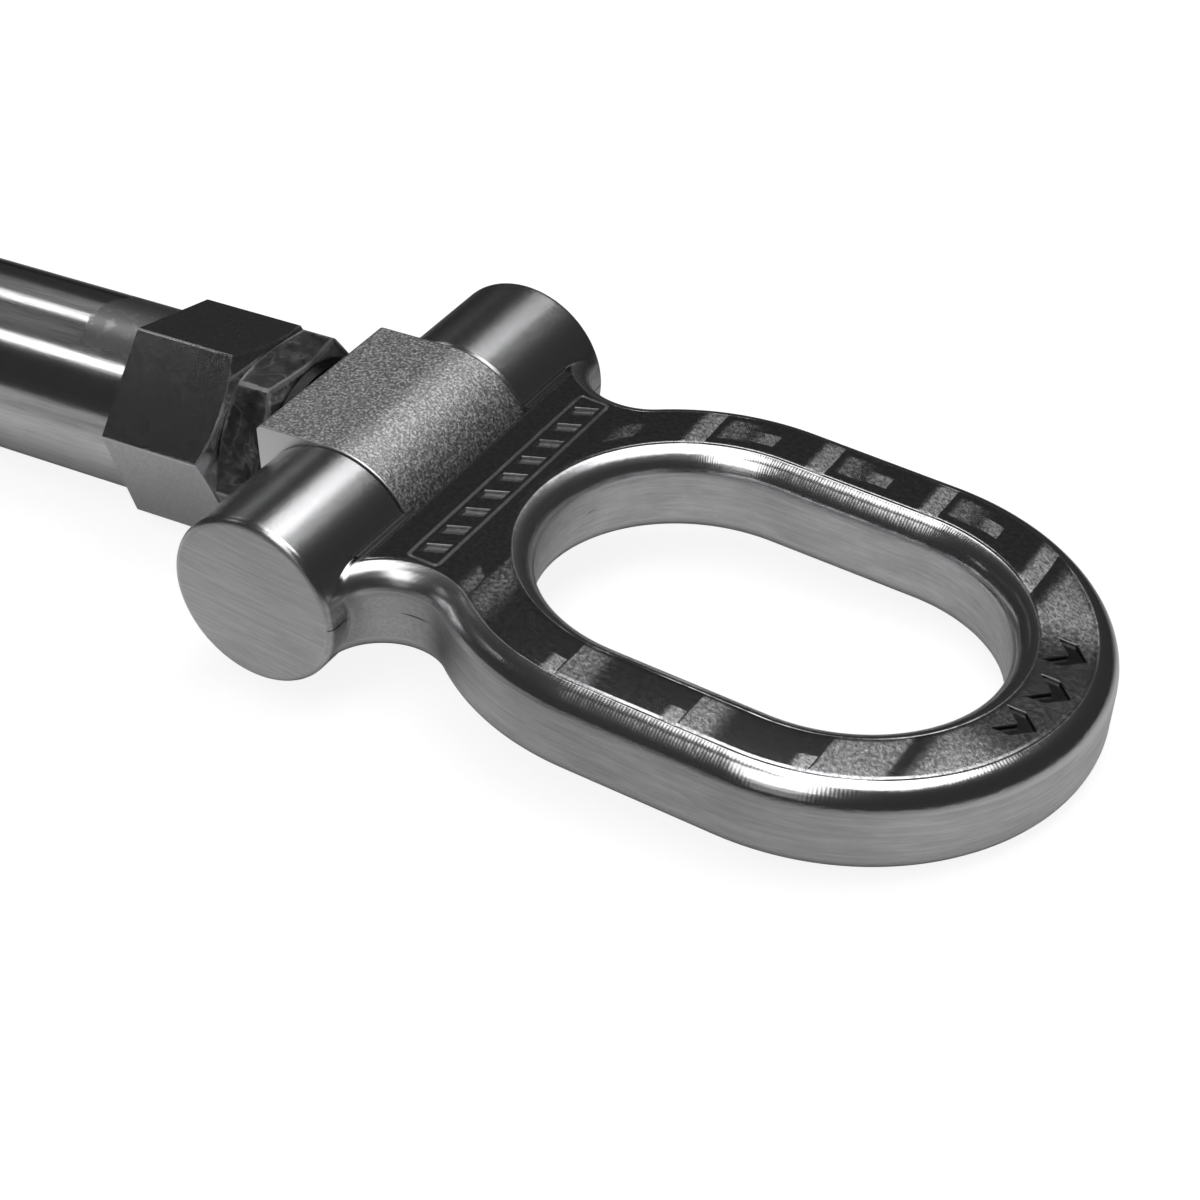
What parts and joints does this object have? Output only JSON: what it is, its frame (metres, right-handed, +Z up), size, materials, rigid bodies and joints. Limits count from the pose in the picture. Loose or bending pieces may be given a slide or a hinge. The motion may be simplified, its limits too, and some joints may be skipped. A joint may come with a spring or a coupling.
{
  "type": "folding tow eye",
  "caption": "Screw-in tow eye for a car: a round shaft with an integral hex, a jam nut and a pivot block carry an oblong milled loop that folds about a cross pin.",
  "frame": {"origin": "centre of the shaft at the shoulder where the threaded tail begins", "axes": "+X along the shaft towards the eye, +Y along the hinge, +Z up as it lies"},
  "size_m": [0.237, 0.0726, 0.0333],
  "materials": {
    "polished_steel": "turned and polished",
    "black_oxide": "black oxide, rubbed bright at the edges",
    "blasted_steel": "bead blasted",
    "milled_steel": "milled, with turned bosses",
    "pin_steel": "ground"
  },
  "bodies": {
    "shank": {"shaft": "polished_steel", "jam_nut": "black_oxide", "pivot_block": "blasted_steel"},
    "loop_eye": {"eye": "milled_steel", "hinge_pin": "pin_steel"}
  },
  "joints": [
    {"name": "eye_hinge", "type": "hinge", "parent": "shank", "child": "loop_eye", "pos_m": [0.1, 0, 0], "axis": [0, 1, 0], "range_deg": [-86, 74]}
  ]
}
